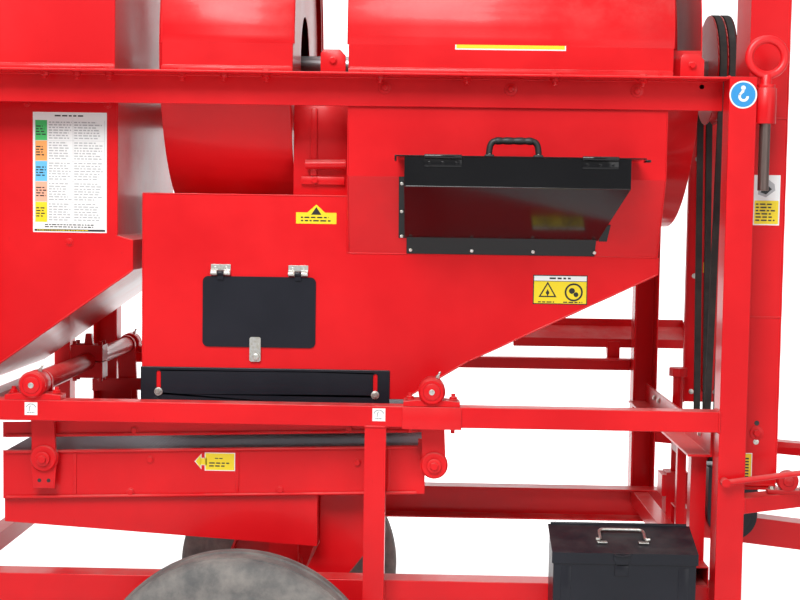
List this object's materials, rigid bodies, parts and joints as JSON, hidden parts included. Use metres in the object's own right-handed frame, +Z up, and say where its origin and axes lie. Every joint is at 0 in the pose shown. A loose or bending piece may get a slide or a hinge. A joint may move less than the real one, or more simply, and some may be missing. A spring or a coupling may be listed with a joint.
{
  "type": "wheeled grain thresher and cleaner",
  "caption": "Wheeled grain threshing and cleaning machine in a tube frame, with drum, blower, sieve shoe, hoppers, elevator, toolbox, screw jack and drawbar.",
  "frame": {"origin": "on the ground below the middle of the machine", "axes": "+Z up, +X towards the drawbar, -Y the side with the access door"},
  "size_m": [2.6599, 1.445, 2.3835],
  "materials": {
    "red_paint": "gloss red enamel",
    "black_paint": "satin black enamel",
    "black_gloss": "gloss black enamel",
    "black_plastic": "moulded",
    "zinc": "zinc plated",
    "tyre_rubber": "dusty rubber",
    "rim_paint": "red enamel",
    "belt_rubber": "fabric faced rubber",
    "steel": "bright steel",
    "cast_iron": "painted casting",
    "black_screen": "perforated sheet",
    "steel_paint": "red enamel"
  },
  "bodies": {
    "frame": {"aspirator_casing": "red_paint", "axle": "red_paint", "blower_casing": "red_paint", "blower_cover": "red_paint", "body_casing": "red_paint", "chassis_rails": "red_paint", "cross_members": "red_paint", "door_hinges": "zinc", "drawbar_struts": "red_paint", "drawbar_tongue": "red_paint", "drive_belts": "belt_rubber", "drum_trough": "red_paint", "elevator_boot": "black_paint", "elevator_casing": "red_paint", "far_posts": "red_paint", "fasteners": "zinc", "intake_hood": "red_paint", "jack_tube": "red_paint", "left_end_posts": "red_paint", "lifting_socket": "red_paint", "mid_post_near": "red_paint", "mid_rail_far": "red_paint", "mid_rail_near": "red_paint", "return_hopper": "black_gloss", "right_post_near": "red_paint", "rock_bearings": "red_paint", "shaft_bearings": "cast_iron", "side_tray": "red_paint", "toolbox": "black_paint", "top_rails": "red_paint", "upper_box": "red_paint"},
    "rotor": {"rotor_shaft": "steel", "threshing_drum": "steel_paint", "fan_wheel": "red_paint", "rotor_pulley": "cast_iron"},
    "low_drive": {"low_pulley": "cast_iron"},
    "wheel_near": {"tyre_near": "tyre_rubber", "rim_near": "rim_paint"},
    "wheel_far": {"tyre_far": "tyre_rubber", "rim_far": "rim_paint"},
    "rocker_left": {"rock_shaft": "red_paint", "rock_arms_left": "red_paint", "rod_clamp": "red_paint"},
    "rocker_right": {"rock_arms_right": "red_paint"},
    "shoe": {"shoe_sides": "red_paint", "sieves": "black_screen", "grain_pan": "red_paint", "grain_chute": "red_paint"},
    "return_lid": {"return_lid": "black_gloss", "lid_handle": "black_plastic"},
    "access_door": {"access_door": "black_paint"},
    "door_latch": {"door_latch": "zinc"},
    "skirt": {"skirt_plate": "black_paint"},
    "upper_cover": {"upper_cover": "red_paint"},
    "toolbox_lid": {"toolbox_lid": "black_paint"},
    "toolbox_handle": {"toolbox_handle": "zinc"},
    "jack_leg": {"jack_leg": "red_paint"},
    "jack_screw": {"jack_screw": "red_paint"},
    "lifting_eye": {"lifting_eye": "red_paint"},
    "engage_lever": {"engage_lever": "red_paint"}
  },
  "joints": [
    {"name": "rotor_spin", "type": "hinge", "parent": "frame", "child": "rotor", "pos_m": [0, 0, 1.914], "axis": [1, 0, 0], "continuous": true},
    {"name": "low_pulley_spin", "type": "hinge", "parent": "frame", "child": "low_drive", "pos_m": [0.63, 0, 0.9], "axis": [1, 0, 0], "continuous": true},
    {"name": "wheel_near_spin", "type": "hinge", "parent": "frame", "child": "wheel_near", "pos_m": [-0.59, -0.6425, 0.354], "axis": [0, 1, 0], "continuous": true},
    {"name": "wheel_far_spin", "type": "hinge", "parent": "frame", "child": "wheel_far", "pos_m": [-0.59, 0.6425, 0.354], "axis": [0, 1, 0], "continuous": true},
    {"name": "rocker_left_swing", "type": "hinge", "parent": "frame", "child": "rocker_left", "pos_m": [-1.098, 0, 1.083], "axis": [0, 1, 0], "range_deg": [-4, 4]},
    {"name": "rocker_right_swing", "type": "hinge", "parent": "frame", "child": "rocker_right", "pos_m": [-0.1368, 0, 1.083], "axis": [0, 1, 0], "range_deg": [-4, 4]},
    {"name": "shoe_pivot", "type": "hinge", "parent": "rocker_left", "child": "shoe", "pos_m": [-1.089, 0, 0.893], "axis": [0, 1, 0], "range_deg": [-4, 4]},
    {"name": "return_lid_hinge", "type": "hinge", "parent": "frame", "child": "return_lid", "pos_m": [0, -0.6125, 1.641], "axis": [1, 0, 0], "range_deg": [0, 95]},
    {"name": "door_hinge", "type": "hinge", "parent": "frame", "child": "access_door", "pos_m": [-0.57, -0.3849, 1.352], "axis": [1, 0, 0], "range_deg": [-95, 0]},
    {"name": "latch_turn", "type": "hinge", "parent": "frame", "child": "door_latch", "pos_m": [-0.5805, -0.383, 1.142], "axis": [0, 1, 0], "range_deg": [-180, 180]},
    {"name": "skirt_slide", "type": "slide", "parent": "frame", "child": "skirt", "axis": [0, 0, -1], "range_m": [0, 0.04]},
    {"name": "cover_hinge", "type": "hinge", "parent": "frame", "child": "upper_cover", "pos_m": [0.04, 0.4765, 1.848], "axis": [1, 0, 0], "range_deg": [-55, 0]},
    {"name": "toolbox_lid_hinge", "type": "hinge", "parent": "frame", "child": "toolbox_lid", "pos_m": [0.3255, -0.4855, 0.756], "axis": [1, 0, 0], "range_deg": [-100, 0]},
    {"name": "wire_handle_hinge", "type": "hinge", "parent": "toolbox_lid", "child": "toolbox_handle", "pos_m": [0.3255, -0.566, 0.7381], "axis": [1, 0, 0], "range_deg": [0, 90]},
    {"name": "jack_slide", "type": "slide", "parent": "frame", "child": "jack_leg", "axis": [0, 0, 1], "range_m": [0, 0.15]},
    {"name": "jack_turn", "type": "hinge", "parent": "frame", "child": "jack_screw", "pos_m": [0.583, 0.15, 0.9], "axis": [0, 0, 1], "range_deg": [0, 9000]},
    {"name": "eye_swivel", "type": "hinge", "parent": "frame", "child": "lifting_eye", "pos_m": [0.642, -0.5255, 1.774], "axis": [0, 0, 1], "range_deg": [-90, 90]},
    {"name": "lever_swing", "type": "hinge", "parent": "frame", "child": "engage_lever", "pos_m": [0.565, -0.5475, 0.88], "axis": [0, 1, 0], "range_deg": [-15, 15]}
  ],
  "couplings": [
    {"joint": "low_pulley_spin", "follows": "rotor_spin", "ratio": 2.3675},
    {"joint": "rocker_right_swing", "follows": "rocker_left_swing", "ratio": 1},
    {"joint": "shoe_pivot", "follows": "rocker_left_swing", "ratio": -1},
    {"joint": "jack_slide", "follows": "jack_turn", "m_per_rad": 0.00095493}
  ]
}
